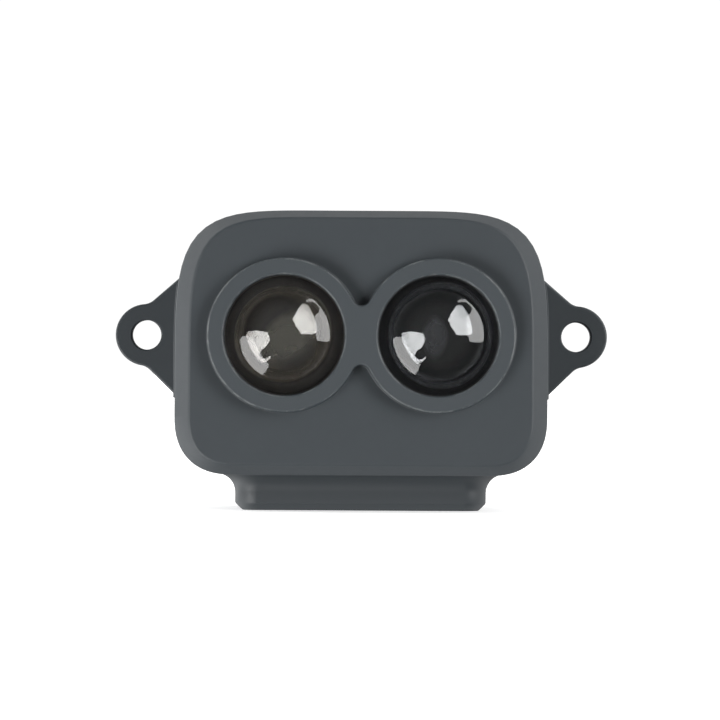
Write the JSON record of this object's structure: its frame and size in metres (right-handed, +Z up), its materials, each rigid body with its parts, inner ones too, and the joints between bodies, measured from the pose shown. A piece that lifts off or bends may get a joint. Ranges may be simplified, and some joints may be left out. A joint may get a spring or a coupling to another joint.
{
  "type": "optical distance sensor",
  "caption": "Compact sealed optical ranging sensor: two lenses in a joined collar, a mounting ear on each side, and a foot that holds a rear cable socket.",
  "frame": {"origin": "midway between the two ear holes, on the ears' rear face, where a bracket bears", "axes": "-Y is the way the lenses look, +X runs from the emitter lens to the receiver lens (to the right as seen from in front), +Z is up and the foot is below"},
  "size_m": [0.035, 0.0185, 0.021],
  "materials": {
    "case_plastic": "fine moulded texture, matt, dark slate grey",
    "seal_rubber": "matt black silicone",
    "screw_steel": "black oxide, satin",
    "emitter_lens_plastic": "clear optical plastic, polished",
    "receiver_lens_plastic": "optical plastic with a grey infrared-pass tint, polished",
    "emitter_tube_plastic": "matt dark brown moulding, stepped inside",
    "receiver_tube_plastic": "matt black moulding, stepped inside",
    "divider_foam": "closed-cell black foam",
    "circuit_board": "green solder mask over glass fibre",
    "led_ceramic": "white ceramic package",
    "led_silicone": "clear silicone dome",
    "chip_plastic": "black epoxy package",
    "filter_glass": "interference filter, violet cast",
    "tinned_steel": "tin plate, satin",
    "connector_plastic": "ivory nylon",
    "bright_steel": "zinc plate",
    "ferrite": "pressed ferrite, matt",
    "capacitor_ceramic": "tan ceramic with tinned ends",
    "gold_plate": "gold flash over phosphor bronze",
    "label_film": "blank silvery polyester film"
  },
  "bodies": {
    "root": {"front_housing": "case_plastic", "rear_housing": "case_plastic", "housing_gasket": "seal_rubber", "housing_screws": "screw_steel", "emitter_lens": "emitter_lens_plastic", "receiver_lens": "receiver_lens_plastic", "emitter_lens_seal": "seal_rubber", "receiver_lens_seal": "seal_rubber", "emitter_tube": "emitter_tube_plastic", "receiver_tube": "receiver_tube_plastic", "light_divider": "divider_foam", "sensor_board": "circuit_board", "emitter_led": "led_ceramic", "emitter_dome": "led_silicone", "receiver_chip": "chip_plastic", "receiver_filter": "filter_glass", "receiver_shield": "tinned_steel", "driver_chip": "chip_plastic", "board_plug": "connector_plastic", "board_socket": "connector_plastic", "main_board": "circuit_board", "board_screws": "bright_steel", "processor_chip": "chip_plastic", "regulator_chip": "chip_plastic", "power_inductor": "ferrite", "crystal": "tinned_steel", "capacitors": "capacitor_ceramic", "resistors": "chip_plastic", "socket_body": "connector_plastic", "socket_pins": "gold_plate", "socket_tabs": "tinned_steel", "socket_seal": "seal_rubber", "rear_label": "label_film"}
  },
  "joints": []
}
